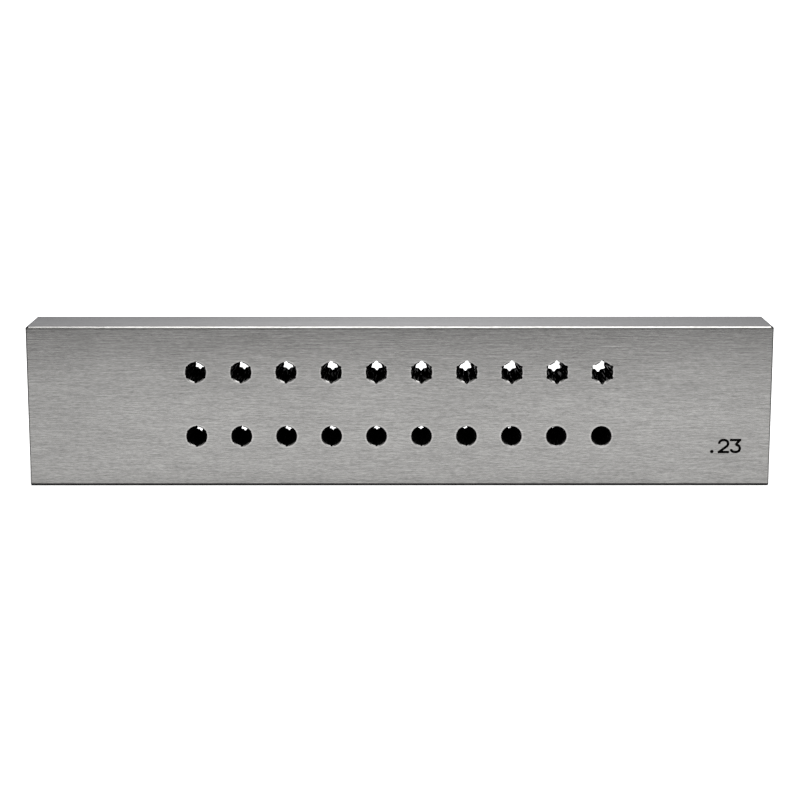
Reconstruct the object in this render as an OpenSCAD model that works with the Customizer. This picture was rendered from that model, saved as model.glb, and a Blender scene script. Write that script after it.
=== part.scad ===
// Wire draw plate: a ground steel bar that carries star-shaped drawing dies in two rows.
// Each die is a hardened plug, shrunk into a stepped pocket from the front and ground
// flush with the face. The pull of the wire, from front to back, holds it on the ledge
// at the rear of its pocket. The first die, upper right, is the largest. Sizes fall from
// right to left along the upper row, and then from left to right along the lower row.
// Millimetres. The origin lies under the middle of the plate, X runs along its length,
// Y from the front face to the back face, and Z up.

/* [Plate] */
// Length of the plate
plate_length = 175; // [160:1:260]
// Height of the plate, standing on its long edge
plate_height = 38.1; // [36:0.1:60]
// Thickness of the plate, from the front face to the back face
plate_thickness = 15.9; // [14:0.1:24]
// Width of the small bevel along every edge of the plate
edge_bevel = 0.3; // [0.1:0.05:1.5]

/* [Die pattern] */
// Number of dies in each of the two rows
dies_per_row = 10; // [2:1:12]
// Distance between neighbouring dies in a row
die_pitch = 10.61; // [9.6:0.01:11.5]
// Distance between the two rows
row_gap = 15.3; // [10:0.1:22]
// Height of the middle of the pattern above the middle of the plate
pattern_lift = 0.55; // [-2:0.05:2]
// Distance of the middle of the pattern to the right of the middle of the plate
pattern_shift = -0.15; // [-3:0.05:3]

/* [Dies] */
// Outside diameter of a die
die_d = 8; // [7:0.1:9.4]
// Radial gap between a die and its pocket, zero for a shrink fit
fit_gap = 0; // [0:0.01:0.05]
// Width of the ledge at the rear of a pocket, which the die sits on
seat_ledge = 0.8; // [0.5:0.05:1.2]
// Thickness of the plate that is left behind the dies
seat_web = 1.5; // [0.8:0.1:3]
// Bevel at the rear rim of a die, which leads it into its pocket
die_lead = 0.3; // [0.1:0.05:0.4]
// Bevel round the exit holes on the back face
exit_bevel = 0.3; // [0.1:0.05:0.5]

/* [Star passages] */
// Diameter of the round mouth of the largest die on the front face
first_mouth_d = 5.06; // [4.4:0.02:5.6]
// Diameter of the round mouth of the smallest die on the front face
last_mouth_d = 4.9; // [4:0.02:5.6]
// Broken edge round the mouth of the largest die
first_break = 0.25; // [0.1:0.05:0.35]
// Broken edge round the mouth of the smallest die
last_break = 0.15; // [0.05:0.05:0.2]
// Number of points of the star
star_points = 6; // [4:1:8]
// Tip radius of the largest star on the front face
first_mouth_tip = 2.88; // [2.4:0.01:3.1]
// Tip radius of the smallest star on the front face
last_mouth_tip = 2.31; // [1.5:0.01:2.8]
// Tip radius of the largest star at its land, where the wire takes its shape
first_land_tip = 1.8; // [1.2:0.05:2.2]
// Tip radius of the smallest star at its land
last_land_tip = 0.45; // [0.3:0.05:1.2]
// Radius of the ridges between the points, for a tip radius of one
ridge_ratio = 0.73; // [0.6:0.01:0.8]
// Half width of the blunt tip of a point, for a tip radius of one
tip_ratio = 0.06; // [0.02:0.01:0.12]
// Length of the straight land
land_length = 0.6; // [0.4:0.1:1.2]
// Depth of the relief behind the land of the largest die
first_relief = 3.5; // [2:0.1:6]
// Depth of the relief behind the land of the smallest die
last_relief = 2.4; // [1:0.1:4]
// Width of the step from the points of the star out to the relief
relief_step = 0.15; // [0.05:0.05:0.4]
// Length of the straight stretch at the rear of the relief
exit_lip = 0.5; // [0.2:0.1:0.8]

/* [Size mark] */
// Height of the stamped figures
mark_height = 3.5; // [2.4:0.05:5]
// Width of one figure
mark_width = 2.7; // [2.2:0.05:4]
// Distance from one figure to the next
mark_pitch = 2.8; // [2.75:0.05:4]
// Width of the stamped line
mark_stroke = 0.6; // [0.3:0.05:0.6]
// Depth of the stamped line
mark_depth = 0.3; // [0.1:0.05:0.6]
// Radius of the bows of the figures, at the middle of the line
mark_bow = 0.86; // [0.7:0.02:0.9]
// Diameter of the point before the figures
mark_dot = 0.85; // [0.5:0.05:1]
// Distance from the middle of the point to the first figure
mark_dot_gap = 1.4; // [0.8:0.1:2]
// Distance from the last figure to the right end of the plate
mark_margin = 6.8; // [2:0.1:15]
// Height of the foot of the figures above the base of the plate
mark_base = 7.8; // [2:0.1:20]

/* [Hidden] */
$fn = 96;
// Overshoot of a cut past the face that it opens through
cut = 0.1;
front_y = -plate_thickness / 2;
die_count = 2 * dies_per_row;
die_length = plate_thickness - seat_web;
row_half = (dies_per_row - 1) * die_pitch / 2;
upper_z = plate_height / 2 + pattern_lift + row_gap / 2;
lower_z = upper_z - row_gap;
exit_r = die_d / 2 - seat_ledge;

// Bounds of a figure at the middle of its line
pen = mark_stroke / 2;
figure_left = pen;
figure_right = mark_width - pen;
figure_base = pen;
figure_top = mark_height - pen;
// Where the bow of the 2 starts, and where it runs into its slanting line
two_hook_angle = 185;
slant_angle = -50;
// Where the bow of the 3 ends
three_hook_angle = -170;
// Steps in one bow of a figure
arc_steps = 10;

function die_name(n) = str("star_die_", n < 10 ? "0" : "", n);
function in_upper_row(n) = n <= dies_per_row;
function die_x(n) = pattern_shift + (in_upper_row(n)
    ? row_half - (n - 1) * die_pitch
    : (n - 1 - dies_per_row) * die_pitch - row_half);
function die_z(n) = in_upper_row(n) ? upper_z : lower_z;
// A size that steps evenly from the first die to the last
function stepped(first, last, n) = first + (last - first) * (n - 1) / (die_count - 1);
// A straight taper: its value at z, through a at z = 0 and b at z = length
function tapered(a, b, length, z) = a + (b - a) * z / length;
// A point at a distance along the direction of an angle and a distance across it
function turned(angle, along, across) = [
    along * cos(angle) - across * sin(angle),
    along * sin(angle) + across * cos(angle)
];

// Outline of a star with blunt points, the first one straight up
module star(tip_r) {
    step = 360 / star_points;
    polygon([
        for (k = [0 : star_points - 1])
            each tip_r * [
                turned(90 + k * step, 1, -tip_ratio),
                turned(90 + k * step, 1, tip_ratio),
                turned(90 + (k + 0.5) * step, ridge_ratio, 0)
            ]
    ]);
}

// Stands a die or its pocket in its place, with the front face at z = 0 and the rear along +Z
module at_die(n) {
    translate([die_x(n), front_y, die_z(n)])
        rotate([-90, 0, 0])
            children();
}

// The way of the wire through a die
module star_passage(n) {
    mouth_tip = stepped(first_mouth_tip, last_mouth_tip, n);
    land_tip = stepped(first_land_tip, last_land_tip, n);
    land_end = die_length - stepped(first_relief, last_relief, n);
    land_start = land_end - land_length;
    // The points of the star, narrowing from the front face to the land
    star_front = tapered(mouth_tip, land_tip, land_start, -cut);
    star_rear = tapered(mouth_tip, land_tip, land_start, land_start + cut);
    translate([0, 0, -cut])
        linear_extrude(height = land_start + 2 * cut, scale = star_rear / star_front)
            star(star_front);
    // The straight land
    translate([0, 0, land_start - cut])
        linear_extrude(height = land_length + 2 * cut)
            star(land_tip);
    // The broken edge round the mouth
    mouth_r = stepped(first_mouth_d, last_mouth_d, n) / 2;
    break_width = stepped(first_break, last_break, n);
    translate([0, 0, -cut])
        cylinder(r1 = mouth_r + cut, r2 = mouth_r - break_width - cut, h = break_width + 2 * cut);
    // The round lead-in, which runs out on the ridges of the star halfway along the land
    lead_r = mouth_r - break_width;
    ridge_r = ridge_ratio * land_tip;
    runout = land_start + land_length / 2;
    lead_front = tapered(lead_r, ridge_r, runout, -cut);
    lead_rear = tapered(lead_r, ridge_r, runout, runout + cut);
    translate([0, 0, -cut])
        cylinder(r1 = lead_front, r2 = lead_rear, h = runout + 2 * cut);
    // The relief, opening to the exit hole
    rotate_extrude()
        polygon([
            [0, land_end],
            [land_tip + relief_step, land_end],
            [exit_r, die_length - exit_lip],
            [exit_r, die_length + cut],
            [0, die_length + cut]
        ]);
}

// Stepped pocket for a die, with its ledge and the exit hole behind it
module pocket() {
    pocket_r = die_d / 2 + fit_gap;
    rotate_extrude()
        polygon([
            [0, -cut],
            [pocket_r, -cut],
            [pocket_r, die_length],
            [exit_r, die_length],
            [exit_r, plate_thickness - exit_bevel],
            [exit_r + exit_bevel + cut, plate_thickness + cut],
            [0, plate_thickness + cut]
        ]);
}

// Block of the given sides, centred on the origin, with its four upright edges bevelled
module bevelled_prism(x, y, z) {
    far_x = x / 2;
    far_y = y / 2;
    near_x = far_x - edge_bevel;
    near_y = far_y - edge_bevel;
    translate([0, 0, -z / 2])
        linear_extrude(height = z)
            polygon([
                [far_x, near_y], [near_x, far_y], [-near_x, far_y], [-far_x, near_y],
                [-far_x, -near_y], [-near_x, -far_y], [near_x, -far_y], [far_x, -near_y]
            ]);
}

// The ground bar with a bevel along all twelve edges
module bevelled_bar() {
    translate([0, 0, plate_height / 2])
        intersection() {
            bevelled_prism(plate_length, plate_thickness, plate_height);
            rotate([90, 0, 0])
                bevelled_prism(plate_length, plate_height, plate_thickness);
            rotate([0, 90, 0])
                bevelled_prism(plate_height, plate_thickness, plate_length);
        }
}

// Points along an arc, from one angle to another in even steps
function arc(centre, r, from, to) = [
    for (i = [0 : arc_steps])
        centre + turned(from + (to - from) * i / arc_steps, r, 0)
];
function heading(from, to) = atan2(to.y - from.y, to.x - from.x);
// Side of a line of the stamp along a path, off its middle by the given distance
function path_side(path, off) = [
    for (i = [0 : len(path) - 1])
        let (
            last = len(path) - 1,
            arriving = heading(path[max(i - 1, 0)], path[max(i, 1)]),
            leaving = heading(path[min(i, last - 1)], path[min(i + 1, last)]),
            half_turn = ((leaving - arriving + 540) % 360 - 180) / 2
        )
        path[i] + turned(arriving + half_turn, 0, off / cos(half_turn))
];
function backwards(list) = [for (i = [len(list) - 1 : -1 : 0]) list[i]];

// Stamped line along a path, as deep as the mark
module stamp_line(path) {
    linear_extrude(height = mark_depth + cut)
        polygon(concat(path_side(path, pen), backwards(path_side(path, -pen))));
}

module stamp_dot(centre) {
    translate(centre)
        cylinder(d = mark_dot, h = mark_depth + cut);
}

module figure_two() {
    left_bow = [figure_left + mark_bow, figure_top - mark_bow];
    right_bow = [figure_right - mark_bow, figure_top - mark_bow];
    stamp_line(concat(
        arc(left_bow, mark_bow, two_hook_angle, 90),
        arc(right_bow, mark_bow, 90, slant_angle),
        [[figure_left, figure_base]]
    ));
    stamp_line([[0, figure_base], [mark_width, figure_base]]);
}

module figure_three() {
    left_bow = [figure_left + mark_bow, figure_base + mark_bow];
    right_bow = [figure_right - mark_bow, figure_base + mark_bow];
    waist = [mark_width / 2, figure_base + 2 * mark_bow];
    stamp_line([[0, figure_top], [mark_width, figure_top]]);
    stamp_line([[figure_right, figure_top], waist]);
    stamp_line(concat(
        [waist],
        arc(right_bow, mark_bow, 90, -90),
        arc(left_bow, mark_bow, -90, three_hook_angle)
    ));
}

// The size figures on the front face, as one cutter
module size_mark() {
    first_x = plate_length / 2 - mark_margin - mark_pitch - mark_width;
    translate([first_x, front_y, mark_base])
        rotate([90, 0, 0])
            translate([0, 0, -mark_depth]) {
                stamp_dot([-mark_dot_gap, mark_dot / 2]);
                figure_two();
                translate([mark_pitch, 0])
                    figure_three();
            }
}

module plate() {
    color("darkgray")
        difference() {
            bevelled_bar();
            for (n = [1 : die_count])
                at_die(n)
                    pocket();
            size_mark();
        }
}

module star_die(n) {
    shank = die_length - die_lead;
    color("dimgray")
        at_die(n)
            difference() {
                union() {
                    cylinder(d = die_d, h = shank);
                    translate([0, 0, shank])
                        cylinder(d1 = die_d, d2 = die_d - 2 * die_lead, h = die_lead);
                }
                star_passage(n);
            }
}

plate();
for (n = [1 : die_count])
    star_die(n);
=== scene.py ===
# %% [markdown]
# # A wire draw plate in ground steel
# A draw plate thins and shapes wire. The wire goes in at the front and is pulled out at the back, through
# a hole that is a little smaller than it. This one is a ground steel bar with twenty star-shaped dies in two
# rows. The bar and the dies arrive as finished solids at their real size, so this lesson doesn't model them
# again. It stands them on a white sweep, lights them, and gives every surface the marks of the tool that
# made it.

# %% Load the plate and its dies
import math

import bmesh
import bpy
from mathutils import Matrix, Vector


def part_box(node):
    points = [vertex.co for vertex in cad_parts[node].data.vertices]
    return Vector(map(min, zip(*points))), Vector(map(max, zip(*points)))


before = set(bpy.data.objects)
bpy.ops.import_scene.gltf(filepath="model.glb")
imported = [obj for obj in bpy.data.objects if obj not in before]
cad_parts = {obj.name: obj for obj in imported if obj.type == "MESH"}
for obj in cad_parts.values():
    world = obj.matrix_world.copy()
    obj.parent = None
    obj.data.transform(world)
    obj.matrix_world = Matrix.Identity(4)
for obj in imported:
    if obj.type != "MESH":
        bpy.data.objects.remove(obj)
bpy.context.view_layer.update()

MM = 0.001
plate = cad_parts["plate"]
dies = [piece for name, piece in sorted(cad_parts.items()) if name.startswith("star_die")]
plate_low, plate_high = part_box("plate")
print("plate", [round(v / MM, 2) for v in plate_high - plate_low], "mm, with", len(dies), "dies")

# %% [markdown]
# ## The camera
# The plate is seen almost square on and a little from above, through a long lens, so that its long edges
# stay nearly parallel. A short lens close by could frame it alike, but the ends would flare. The camera is
# turned in three steps: down from level, round to the side, and a touch of roll.

# %% Set up the camera
LENS_MM = 91.26
SENSOR_MM = 36
CAMERA_PLACE = Vector((0.05, -476.2, 112.32)) * MM
CAMERA_DOWN = math.radians(11.077)
CAMERA_SIDEWAYS = math.radians(-0.004)
CAMERA_ROLL = math.radians(-0.010)

camera = bpy.data.objects.new("camera", bpy.data.cameras.new("camera"))
camera.data.lens = LENS_MM
camera.data.sensor_width = SENSOR_MM
camera.matrix_world = (
    Matrix.Translation(CAMERA_PLACE)
    @ Matrix.Rotation(CAMERA_SIDEWAYS, 4, "Z")
    @ Matrix.Rotation(math.pi / 2 - CAMERA_DOWN, 4, "X")
    @ Matrix.Rotation(CAMERA_ROLL, 4, "Z")
)
bpy.context.scene.collection.objects.link(camera)
bpy.context.scene.camera = camera
print("camera", round((CAMERA_PLACE - plate_low).length, 3), "m from the corner of the plate")

# %% [markdown]
# ## The white sweep
# A studio sweep is one sheet that lies flat under the object and curves up behind it, so that no corner
# shows. It could be a bent plane with a Bevel modifier. Here an edge is drawn out of the floor a few degrees
# at a time, which keeps the curve exact and the mesh small.

# %% Draw a sheet out of an edge
SWEEP_HALF_WIDTH = 3.0
SWEEP_FRONT = -3.0
SWEEP_BACK = 1.6
SWEEP_RADIUS = 0.8
SWEEP_TOP = 2.6
SWEEP_STEPS = 16

sheet = bmesh.new()
corners = [sheet.verts.new((side * SWEEP_HALF_WIDTH, SWEEP_FRONT, 0)) for side in (-1, 1)]
rim = sheet.edges.new(corners)
print("front edge of the sheet", round(rim.calc_length(), 2), "m")


def draw_out(rim, step):
    """Extrudes the last edge of the sheet by one step, and returns the new edge."""
    grown = bmesh.ops.extrude_edge_only(sheet, edges=[rim])["geom"]
    rim = next(part for part in grown if isinstance(part, bmesh.types.BMEdge))
    bmesh.ops.translate(sheet, verts=rim.verts[:], vec=step)
    return rim


def round_the_bend(step):
    """How far the bend has got after a number of steps."""
    turn = math.pi / 2 * step / SWEEP_STEPS
    return Vector((0, SWEEP_RADIUS * math.sin(turn), SWEEP_RADIUS * (1 - math.cos(turn))))


# %% [markdown]
# The floor is one long step, the bend is many short ones, and the wall behind is one step again. Smooth
# shading hides the joins. The sweep isn't part of the object.

# %% Bend the sweep
rim = draw_out(rim, (0, SWEEP_BACK - SWEEP_FRONT, 0))
for step in range(SWEEP_STEPS):
    rim = draw_out(rim, round_the_bend(step + 1) - round_the_bend(step))
draw_out(rim, (0, 0, SWEEP_TOP - SWEEP_RADIUS))
bmesh.ops.recalc_face_normals(sheet, faces=sheet.faces)
for face in sheet.faces:
    face.smooth = True

sweep_mesh = bpy.data.meshes.new("sweep")
sheet.to_mesh(sweep_mesh)
sheet.free()
sweep = bpy.data.objects.new("sweep", sweep_mesh)
bpy.context.scene.collection.objects.link(sweep)
print("sweep", len(sweep_mesh.polygons), "faces")

# %% [markdown]
# ## Nodes with less typing
# Every material below is a small network of nodes, which could be wired by hand in the Shader Editor. In a
# script each node takes several lines, so a few helpers keep the networks readable. One adds a node and
# fills its sockets, one does arithmetic on sockets and numbers alike, and one starts a new material.

# %% Add nodes and do sums with them
def add(tree, kind, sockets=None, **settings):
    """Adds a node, sets its options, and fills its sockets with values or with other nodes' outputs."""
    made = tree.nodes.new(kind)
    for name, value in settings.items():
        setattr(made, name, value)
    for name, value in (sockets or {}).items():
        if isinstance(value, bpy.types.NodeSocket):
            tree.links.new(value, made.inputs[name])
        else:
            made.inputs[name].default_value = value
    return made


def maths(tree, operation, *values):
    """Arithmetic on sockets or numbers, as one output socket."""
    made = add(tree, "ShaderNodeMath", dict(enumerate(values)), operation=operation)
    return made.outputs[0]


def product(tree, *values):
    """All the values multiplied together."""
    result = values[0]
    for value in values[1:]:
        result = maths(tree, "MULTIPLY", result, value)
    return result


def parts_of(tree, vector):
    """The X, Y and Z of a vector, as three sockets."""
    return add(tree, "ShaderNodeSeparateXYZ", {"Vector": vector}).outputs[:3]


def empty_material(name):
    """A new material with nothing in it, its node tree, and where a point lies on the object."""
    material = bpy.data.materials.new(name)
    material.use_nodes = True
    tree = material.node_tree
    tree.nodes.clear()
    return material, tree, add(tree, "ShaderNodeTexCoord").outputs


# %% [markdown]
# Most of the looks below depend on where a point lies. Three helpers turn a place into a level: one maps a
# stretch of values onto another with soft ends, one goes from one value to another by a share, and one
# follows a curve through a few stops.

# %% Turn a place into a level
def spread(tree, value, low, high, to_low=0.0, to_high=1.0):
    """Maps low..high onto to_low..to_high with soft ends, and holds the ends beyond them."""
    made = add(tree, "ShaderNodeMapRange", {
        "Value": value, "From Min": low, "From Max": high, "To Min": to_low, "To Max": to_high},
        interpolation_type="SMOOTHSTEP")
    return made.outputs[0]


def blend(tree, share, without, with_all):
    """A number that goes from one value to another as the share goes from 0 to 1."""
    made = add(tree, "ShaderNodeMix", {"Factor": share, "A": without, "B": with_all}, data_type="FLOAT")
    return made.outputs["Result"]


def ramp(tree, value, stops):
    """A curve through stops, each a place and the level there, held beyond the first and the last."""
    first, last = min(stops), max(stops)
    share = add(tree, "ShaderNodeMapRange", {"Value": value, "From Min": first, "From Max": last})
    made = add(tree, "ShaderNodeValToRGB", {"Fac": share.outputs[0]})
    elements = made.color_ramp.elements
    for place in sorted(stops)[1:-1]:
        elements.new((place - first) / (last - first))
    for element, place in zip(elements, sorted(stops)):
        element.color = (stops[place], stops[place], stops[place], 1)
    return made.outputs["Color"]


# %% [markdown]
# Metal looks like what it mirrors. On paper that is white all over, bright steel turns into plain grey card.
# A photographer would stand dark cards around it. Here the sheet itself is painted, which needs no more
# pieces: it is bright around the plate and falls off outside the picture, towards the viewer, to both sides,
# and up the back. Now the face has a darker upper third, the ends are darker than the front, and the top
# edge dims towards its ends. Far out at the sides the sheet is bright again, which lights the top edge when
# the plate is seen from a corner.

# %% Where the sheet is bright
BAND_HALF_WIDTH = 0.098
BAND_FRONT_SPREAD = 0.15
BAND_BACK_SPREAD = 0.20
BAND_FADE = 0.10
SIDE_LEVEL = 0.45
FRONT_TO_BACK = {-0.45: 0.0, -0.29: 0.05, -0.22: 0.72, -0.165: 1.03, -0.10: 0.97, -0.03: 0.90, 0.2: 0.94}
WALL_MIDDLE = 0.02
WALL_RISE = (0.05, 0.3)
WALL_FADE = (0.0, 0.62)
WALL_LEVEL = 0.60
FAR_OUT = (0.7, 1.4)
FAR_LEVEL = 0.8
print("brightest", -max(FRONT_TO_BACK, key=FRONT_TO_BACK.get), "m in front of the middle of the plate")


def sheet_brightness(tree, x, y, z):
    """How bright each place of the sheet is, where about one is the brightest."""
    away = maths(tree, "ABSOLUTE", x)
    ahead = maths(tree, "MULTIPLY_ADD", y, -BAND_FRONT_SPREAD, BAND_HALF_WIDTH)
    behind = maths(tree, "MULTIPLY_ADD", y, BAND_BACK_SPREAD, BAND_HALF_WIDTH)
    past_side = maths(tree, "SUBTRACT", away, maths(tree, "MAXIMUM", ahead, behind))
    side = spread(tree, past_side, 0.0, BAND_FADE, 1.0, SIDE_LEVEL)
    off_middle = maths(tree, "ABSOLUTE", maths(tree, "SUBTRACT", x, WALL_MIDDLE))
    wall_level = spread(tree, off_middle, *WALL_FADE, 1.0, WALL_LEVEL)
    wall = blend(tree, spread(tree, z, *WALL_RISE), 1.0, wall_level)
    across = blend(tree, spread(tree, away, *FAR_OUT), product(tree, side, wall), FAR_LEVEL)
    return product(tree, across, ramp(tree, y, FRONT_TO_BACK))


# %% [markdown]
# The paper is matt and takes the shadow of the plate. A glow of its own, which only the eye and mirrors see,
# lifts it to clean white without pouring more light on the steel. The glow is a little weaker near the
# plate, where the shadow lies. Under the plate there is none, so a thin dark line stays along the foot.

# %% Where the sheet glows
GLOW_TO_MIRRORS = 0.40
GLOW_TO_EYE = (0.82, 1.0)
GLOW_REACH = (0.12, 0.28)


def between(tree, value, low, high):
    """One where the value lies between two bounds, and zero elsewhere."""
    return product(tree, maths(tree, "GREATER_THAN", value, low), maths(tree, "LESS_THAN", value, high))


def sheet_glow(tree, spot, brightness):
    """How strongly each place of the sheet glows, to the eye and in mirrors, with none under the plate."""
    x, y = parts_of(tree, spot)[:2]
    under_length = between(tree, x, plate_low.x, plate_high.x)
    under_depth = between(tree, y, plate_low.y, plate_high.y)
    far = add(tree, "ShaderNodeVectorMath", {0: spot}, operation="LENGTH").outputs["Value"]
    rays = add(tree, "ShaderNodeLightPath").outputs
    mirrored = maths(tree, "MAXIMUM", rays["Is Glossy Ray"], rays["Is Transmission Ray"])
    to_eye = product(tree, rays["Is Camera Ray"], spread(tree, far, *GLOW_REACH, *GLOW_TO_EYE))
    to_mirrors = product(tree, mirrored, brightness, GLOW_TO_MIRRORS)
    uncovered = maths(tree, "SUBTRACT", 1.0, product(tree, under_length, under_depth))
    return product(tree, maths(tree, "ADD", to_eye, to_mirrors), uncovered)


# %% [markdown]
# The back of the sheet is a touch cooler than the front, and so is the top edge of the bar, which mirrors
# it. A tinted lamp could do that too, but it would tint the front of the plate as well.

# %% Paint the sweep
PAPER = 0.72
PAPER_ROUGHNESS = 0.9
PAPER_SHINE = 0.0
COOL_FROM = (0.1, 0.6)
COOL_BLUE = 1.028


def colour_of(tree, *levels):
    """A colour from its red, green and blue levels."""
    return add(tree, "ShaderNodeCombineColor", dict(enumerate(levels))).outputs[0]


white, tree, where = empty_material("white_sweep")
x, y, z = parts_of(tree, where["Object"])
brightness = sheet_brightness(tree, x, y, z)
paper = product(tree, brightness, PAPER)
cool = spread(tree, y, *COOL_FROM, 1.0, COOL_BLUE)
surface = add(tree, "ShaderNodeBsdfPrincipled", {
    "Base Color": colour_of(tree, paper, paper, product(tree, paper, cool)),
    "Roughness": PAPER_ROUGHNESS,
    "Specular IOR Level": PAPER_SHINE,
    "Emission Color": colour_of(tree, 1.0, 1.0, cool),
    "Emission Strength": sheet_glow(tree, where["Object"], brightness),
})
add(tree, "ShaderNodeOutputMaterial", {"Surface": surface.outputs[0]})
sweep_mesh.materials.append(white)
print("white sweep", len(tree.nodes), "nodes")

# %% [markdown]
# ## The light
# One wide soft box hangs over the plate. Only surfaces that lean back mirror it: the bevel along the top,
# which becomes a white line, and the lower rims of the holes. A glowing plane would look alike, but an area
# lamp is sampled better, so the picture is cleaner. Its power is worked out from how bright it looks.

# %% Hang the soft box
BOX_PLACE = Vector((0.21, -0.1, 0.9))
BOX_WIDTH, BOX_LENGTH = 0.84, 0.8
BOX_RADIANCE = 2.6

lamp = bpy.data.lights.new("overhead_box", "AREA")
lamp.shape = "RECTANGLE"
lamp.size, lamp.size_y = BOX_WIDTH, BOX_LENGTH
lamp.energy = BOX_RADIANCE * math.pi * BOX_WIDTH * BOX_LENGTH
overhead_box = bpy.data.objects.new("overhead_box", lamp)
overhead_box.location = BOX_PLACE
overhead_box.rotation_euler = (-BOX_PLACE).to_track_quat("-Z", "Y").to_euler()
overhead_box.visible_camera = False
bpy.context.scene.collection.objects.link(overhead_box)
print("overhead box", round(lamp.energy, 2), "W")

# %% [markdown]
# The grey of the room fills the rest. One grey all round would do for a matt object, but steel mirrors the
# room and then looks flat. So it is dim at the height of the plate and lighter towards the ceiling, and to
# the eye it is as white as the paper.

# %% Dim the room
ROOM_GREY = (0.2, 0.55)
ROOM_RISE = (0.1, 0.35)

room = bpy.data.worlds.new("room")
room.use_nodes = True
bpy.context.scene.world = room
tree = room.node_tree
height = parts_of(tree, add(tree, "ShaderNodeTexCoord").outputs["Generated"])[2]
grey = spread(tree, height, *ROOM_RISE, *ROOM_GREY)
seen = add(tree, "ShaderNodeLightPath").outputs["Is Camera Ray"]
background = tree.nodes["Background"]
background.inputs["Color"].default_value = (1, 1, 1, 1)
tree.links.new(blend(tree, seen, grey, 1.0), background.inputs["Strength"])
print("room", len(tree.nodes), "nodes")

# %% [markdown]
# ## Ground steel
# A surface grinder leaves fine straight lines that all run the way the work travels. Noise that is merely
# stretched bends and wavers, so each line gets a row of its own: the height on the face is cut into thin
# rows, and every row reads another stretch of one smooth noise.

# %% Draw straight lines with noise
NOISE_MIDDLE = 0.5
ROW_STEP = 7.37
PATCH_DETAIL = 1.0


def noise(tree, along, across, detail):
    """Smooth noise around zero, read at the place that two numbers give."""
    place = add(tree, "ShaderNodeCombineXYZ", {0: along, 1: across}).outputs[0]
    sockets = {"Vector": place, "Scale": 1.0, "Detail": detail}
    made = add(tree, "ShaderNodeTexNoise", sockets, noise_dimensions="2D")
    return maths(tree, "SUBTRACT", made.outputs["Fac"], NOISE_MIDDLE)


def lines(tree, along, across, size, detail):
    """Straight lines around zero, with features of the given length in rows of the given width."""
    length, width = size
    row = maths(tree, "FLOOR", maths(tree, "DIVIDE", across, width))
    return noise(tree, maths(tree, "DIVIDE", along, length), maths(tree, "MULTIPLY", row, ROW_STEP), detail)


def patches(tree, along, across, size):
    """Soft patches around zero, of the given length and width."""
    length, width = size
    row = maths(tree, "DIVIDE", across, width)
    return noise(tree, maths(tree, "DIVIDE", along, length), row, PATCH_DETAIL)


# %% [markdown]
# Fine short lines, bolder long ones and slow clouds are laid over each other. The front and the back were
# ground along the bar, and so were the long edges, which also show the broad bands of a narrow wheel. The
# ends were ground upright, so there the pattern is turned. The normal tells which way a face looks, so one
# material does for all sides. All the solids share one origin, so the lines run on from the bar over the
# dies, as they do when both are ground together.

# %% Lay the lines over a surface
SQUARE_ON = 0.9
HALF_TURNED = 0.5
FINE_LINE, FINE_DETAIL, FINE_SHARE = (1.3 * MM, 0.12 * MM), 3.0, 0.9
BOLD_LINE, BOLD_DETAIL, BOLD_SHARE = (6.0 * MM, 0.16 * MM), 1.0, 0.55
CLOUD, CLOUD_SHARE = (30 * MM, 6 * MM), 0.15
BAND, BAND_DETAIL, BAND_SHARE = (40 * MM, 1.3 * MM), 2.0, 0.35
GROOVE = (9 * MM, 0.2 * MM)
print("fine lines up the face", round((plate_high.z - plate_low.z) / FINE_LINE[1]))


def ground_tone(tree, place, normal):
    """How light ground steel is, around one, and how high it stands in its grooves, around zero."""
    x, y, z = place
    on_end = maths(tree, "GREATER_THAN", maths(tree, "ABSOLUTE", normal[0]), HALF_TURNED)
    along = blend(tree, on_end, x, z)
    across = blend(tree, on_end, maths(tree, "ADD", y, z), maths(tree, "ADD", x, y))
    fine = lines(tree, along, across, FINE_LINE, FINE_DETAIL)
    bold = lines(tree, along, across, BOLD_LINE, BOLD_DETAIL)
    cloud = patches(tree, along, across, CLOUD)
    on_long_edge = maths(tree, "GREATER_THAN", maths(tree, "ABSOLUTE", normal[2]), SQUARE_ON)
    band = product(tree, on_long_edge, lines(tree, x, y, BAND, BAND_DETAIL))
    tone = 1.0
    for layer, share in ((fine, FINE_SHARE), (bold, BOLD_SHARE), (cloud, CLOUD_SHARE), (band, BAND_SHARE)):
        tone = maths(tree, "MULTIPLY_ADD", layer, share, tone)
    return tone, patches(tree, along, across, GROOVE)


# %% [markdown]
# Bare steel is a metal with a grey of its own. Where it is blackened it stops looking like metal, so the
# dark share takes the metal away and leaves a near-black skin. The grooves of the wheel are a few
# thousandths of a millimetre deep. A Bump node gives them their depth, and they change the gloss a little
# too. One function builds the shader for the bar and for the dies.

# %% Build the shader
STEEL = (0.393, 0.388, 0.379)
GROUND_ROUGHNESS = 0.22
ROUGHNESS_SWING = 0.07
GROOVE_DEPTH = 0.005 * MM
BLACK = 0.003
BLACK_ROUGHNESS = 0.35
BLACK_SHINE = 0.0


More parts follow.
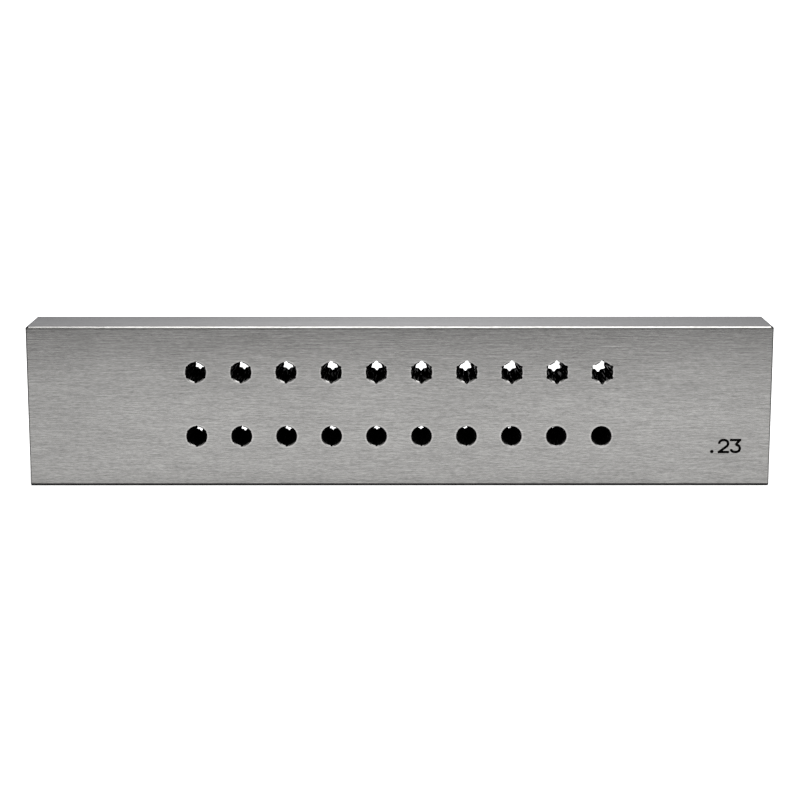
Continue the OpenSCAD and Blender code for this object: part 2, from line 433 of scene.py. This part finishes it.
def steel_shader(tree, tone, grooves, dark):
    """Steel of the given tone, with a black skin where dark is one."""
    channels = [blend(tree, dark, product(tree, tone, level), BLACK) for level in STEEL]
    roughness = maths(tree, "MULTIPLY_ADD", grooves, ROUGHNESS_SWING, GROUND_ROUGHNESS)
    bump = add(tree, "ShaderNodeBump", {"Strength": 1.0, "Distance": GROOVE_DEPTH, "Height": grooves})
    surface = add(tree, "ShaderNodeBsdfPrincipled", {
        "Base Color": colour_of(tree, *channels),
        "Metallic": maths(tree, "SUBTRACT", 1.0, dark),
        "Roughness": blend(tree, dark, roughness, BLACK_ROUGHNESS),
        "Specular IOR Level": BLACK_SHINE,
        "Normal": bump.outputs["Normal"],
    })
    add(tree, "ShaderNodeOutputMaterial", {"Surface": surface.outputs[0]})


# %% [markdown]
# ## The bar
# Every edge of the bar has a small bevel. The long one at the top mirrors the soft box and stays bright. The
# upright ones at the front and the corners get painted shade, and so does the foot all round, as a dark line
# where the bar meets the sheet. Edges are often found with the Pointiness output, but that needs a dense
# mesh, and this one has few faces. So the normal and the distance from the end, the top or the foot say
# where an edge is.

# %% Paint shade on the edges of the bar
BEVEL = 0.3 * MM
# Painted shade: the upright front bevels, the front top corners and the foot all round.
UPRIGHT_SHADE = 0.38
CORNER_SHADE, CORNER_REACH = 0.03, 0.7 * MM
FOOT_SHADE, FOOT_HEIGHT = 0.11, 0.54 * MM


def painted_edge_shade(tree, place, normal, from_end, from_top):
    """The painted shade on the bevels and the foot of the bar, where one is plain ground steel."""
    front_bevel = between(tree, normal[1], -SQUARE_ON, -HALF_TURNED)
    upright = product(tree, front_bevel, maths(tree, "LESS_THAN", from_end, BEVEL))
    near_end = maths(tree, "LESS_THAN", from_end, CORNER_REACH)
    near_top = maths(tree, "LESS_THAN", from_top, CORNER_REACH)
    corner = product(tree, front_bevel, near_end, near_top)
    near_foot = maths(tree, "LESS_THAN", place[2], FOOT_HEIGHT)
    foot = product(tree, near_foot, maths(tree, "GREATER_THAN", normal[2], -SQUARE_ON))
    return product(
        tree,
        blend(tree, upright, 1.0, UPRIGHT_SHADE),
        blend(tree, corner, 1.0, CORNER_SHADE),
        blend(tree, foot, 1.0, FOOT_SHADE),
    )


# %% [markdown]
# A fine dark line of painted shade runs under the top bevel and across the ends of the long edge, and
# painted shade darkens the bar a little towards both ends. The top gets painted light towards the front and
# painted shade towards the back, with a darker painted strip along both of its borders. All of this is a
# change of tone that multiplies the ground pattern, so the lines show through it.

# %% Paint light and shade on the face and the top
# Painted shade: the line under the bevel, the darker ends and the top's borders; painted light: the top's
# front.
LINE_SHADE, LINE_WIDTH = 0.52, 0.35 * MM
END_SHADE_LEFT, END_SHADE_RIGHT, END_SHADE_LENGTH = 0.07, 0.04, 30 * MM
TOP_FRONT, TOP_BACK = 1.19, 0.91
STRIP_SHADE, STRIP_WIDTH = 0.72, 2.6 * MM


def painted_face_light(tree, place, normal, from_end, from_top):
    """Painted light and shade on the faces of the bar, where one is plain ground steel."""
    x, y = place[:2]
    on_face = maths(tree, "LESS_THAN", normal[1], -SQUARE_ON)
    on_top = maths(tree, "GREATER_THAN", normal[2], SQUARE_ON)
    edge = blend(tree, on_face, product(tree, on_top, from_end), from_top)
    dark_line = between(tree, edge, BEVEL / 2, BEVEL + LINE_WIDTH)
    end_shade = blend(tree, maths(tree, "GREATER_THAN", x, 0.0), END_SHADE_LEFT, END_SHADE_RIGHT)
    shaded = product(tree, end_shade, spread(tree, from_end, 0.0, END_SHADE_LENGTH, 1.0, 0.0))
    from_side = maths(tree, "SUBTRACT", plate_high.y, maths(tree, "ABSOLUTE", y))
    strip = spread(tree, from_side, BEVEL, STRIP_WIDTH, STRIP_SHADE, 1.0)
    top_light = spread(tree, y, plate_low.y, plate_high.y, TOP_FRONT, TOP_BACK)
    return product(
        tree,
        blend(tree, dark_line, 1.0, LINE_SHADE),
        maths(tree, "SUBTRACT", 1.0, shaded),
        blend(tree, on_top, 1.0, product(tree, strip, top_light)),
    )


# %% [markdown]
# The size figures were struck with stamps, and their recess is painted black. A picture of figures could be
# laid over the face, but they are cut into the solid, so the paint only has to find what lies just below the
# face in that corner of the bar.

# %% Paint the bar
SKIN = 0.02 * MM
MARK_X, MARK_Z = (72.0 * MM, 82.0 * MM), (7.0 * MM, 12.5 * MM)
MARK_DEEPEST = 0.4 * MM


def dress(pieces, material):
    """Gives every piece this material and no other."""
    for piece in pieces:
        piece.data.materials.clear()
        piece.data.materials.append(material)
    print(material.name, "has", len(material.node_tree.nodes), "nodes, solids:", len(pieces))


plate_steel, tree, where = empty_material("plate_steel")
place, normal = parts_of(tree, where["Object"]), parts_of(tree, where["Normal"])
from_end = maths(tree, "SUBTRACT", plate_high.x, maths(tree, "ABSOLUTE", place[0]))
from_top = maths(tree, "SUBTRACT", plate_high.z, place[2])
depth = maths(tree, "SUBTRACT", place[1], plate_low.y)
in_the_mark = product(
    tree,
    between(tree, depth, SKIN, MARK_DEEPEST),
    between(tree, place[0], *MARK_X),
    between(tree, place[2], *MARK_Z),
)
ground, grooves = ground_tone(tree, place, normal)
# Painted shade on the bevels and the foot of the bar.
edges = painted_edge_shade(tree, place, normal, from_end, from_top)
# Painted light and shade on the face and the top of the bar.
faces = painted_face_light(tree, place, normal, from_end, from_top)
steel_shader(tree, product(tree, ground, edges, faces), grooves, in_the_mark)
dress([plate], plate_steel)

# %% [markdown]
# ## The dies
# A die is a hardened plug that sits flush in the bar, and all twenty can share one material. To find its way
# round a die, the material measures how far a point lies from the nearest axis. The axes stand in two rows
# at an even pitch, so the place along the row is wrapped back to the first die. A material for each die
# could name its own axis, but twenty would have to be kept alike.

# %% Measure from the axis of a die
die_middles = [(low + high) / 2 for low, high in (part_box(piece.name) for piece in dies)]
FIRST_X = min(middle.x for middle in die_middles)
LAST_X = max(middle.x for middle in die_middles)
PITCH = (LAST_X - FIRST_X) / (len(dies) / 2 - 1)
LOW_ROW = min(middle.z for middle in die_middles)
HIGH_ROW = max(middle.z for middle in die_middles)
print("dies every", round(PITCH / MM, 2), "mm, in rows", round((HIGH_ROW - LOW_ROW) / MM, 2), "mm apart")


def from_axis(tree, x, z):
    """How far a point lies from the axis of the nearest die."""
    along = maths(tree, "WRAP", maths(tree, "SUBTRACT", x, FIRST_X), PITCH / 2, -PITCH / 2)
    from_middle = maths(tree, "ABSOLUTE", maths(tree, "SUBTRACT", z, (LOW_ROW + HIGH_ROW) / 2))
    up = maths(tree, "SUBTRACT", from_middle, (HIGH_ROW - LOW_ROW) / 2)
    return maths(tree, "SQRT", maths(tree, "MULTIPLY_ADD", along, along, product(tree, up, up)))


# %% [markdown]
# The face of a die is ground with the bar, and a narrow bright ring is painted round each mouth. The broken
# edge of the mouth gets painted light where it faces up, stronger in the upper row, and painted shade where
# it faces down.

# %% Paint light on the mouths
# Painted light: a bright ring round each mouth and the upward lip; painted shade: the downward lip.
RING_EDGE = (2.72 * MM, 2.95 * MM)
RING_TONE = 1.27
LIP_FACING_UP = (0.25, 0.6)
LIP_SHADE = 0.03
LIP_LIGHT = (0.45, 0.8)
print("painted_bright rings", round(2 * RING_EDGE[1] / MM, 1), "mm across")


def painted_mouth_light(tree, place, normal):
    """Painted light and shade on the face and the broken edge of a die, where one is plain ground steel."""
    x, z = place[0], place[2]
    ring = spread(tree, from_axis(tree, x, z), *RING_EDGE, RING_TONE, 1.0)
    on_face = maths(tree, "LESS_THAN", normal[1], -SQUARE_ON)
    on_lip = between(tree, normal[1], -SQUARE_ON, -HALF_TURNED)
    lip_light = spread(tree, z, LOW_ROW, HIGH_ROW, *LIP_LIGHT)
    lip_light = spread(tree, normal[2], *LIP_FACING_UP, LIP_SHADE, lip_light)
    return product(tree, blend(tree, on_face, 1.0, ring), blend(tree, on_lip, 1.0, lip_light))


# %% [markdown]
# A die is hardened. The walls of its star are painted near-black, with pale streaks along the way where the
# bare steel shows. The streaks fade from the large dies at the upper right to the fine ones in the lower
# row.

# %% Blacken the passages
FACING_BACK = 0.2
PASSAGE_END = 13.85 * MM
STREAK = (0.45 * MM, 0.45 * MM)
STREAK_LEVELS = (0.06, 0.2)
STREAK_SHARE = 0.55
STREAKS_ALONG_ROW = (0.3, 1.0)
STREAKS_BY_ROW = (0.12, 1.0)
print("black for", round(PASSAGE_END / (plate_high.y - plate_low.y), 2), "of the way through the bar")


def passage_black(tree, place, normal, depth):
    """How black a die is painted: one on the walls of the star, less in the pale streaks."""
    x, z = place[0], place[2]
    on_wall = between(tree, normal[1], -HALF_TURNED, FACING_BACK)
    walls = product(tree, on_wall, maths(tree, "LESS_THAN", depth, PASSAGE_END))
    along_row = spread(tree, x, FIRST_X, LAST_X, *STREAKS_ALONG_ROW)
    by_row = spread(tree, z, LOW_ROW, HIGH_ROW, *STREAKS_BY_ROW)
    streaks = spread(tree, patches(tree, x, z, STREAK), *STREAK_LEVELS, 0.0, STREAK_SHARE)
    return product(tree, walls, maths(tree, "SUBTRACT", 1.0, product(tree, along_row, by_row, streaks)))


# %% [markdown]
# Behind the star the relief was turned on a lathe and shows rings. They are the same straight lines as on
# the bar, read along the depth of the die, because every ring lies at one depth. Now the parts come together
# in one material.

# %% Paint the dies
TURNED, TURNED_DETAIL, TURNED_SHARE = (3.0 * MM, 0.09 * MM), 1.0, 0.7

die_steel, tree, where = empty_material("die_steel")
place, normal = parts_of(tree, where["Object"]), parts_of(tree, where["Normal"])
depth = maths(tree, "SUBTRACT", place[1], plate_low.y)
ground, grooves = ground_tone(tree, place, normal)
turned = lines(tree, place[0], depth, TURNED, TURNED_DETAIL)
rings = maths(tree, "MULTIPLY_ADD", turned, TURNED_SHARE, 1.0)
behind = maths(tree, "GREATER_THAN", normal[1], FACING_BACK)
# The mouths carry painted light and shade.
tone = product(tree, blend(tree, behind, ground, rings), painted_mouth_light(tree, place, normal))
steel_shader(tree, tone, grooves, passage_black(tree, place, normal, depth))
dress(dies, die_steel)

# %% [markdown]
# ## The view
# The Standard view keeps the colours about as they were written.

# %% Finish
bpy.context.scene.view_settings.view_transform = "Standard"
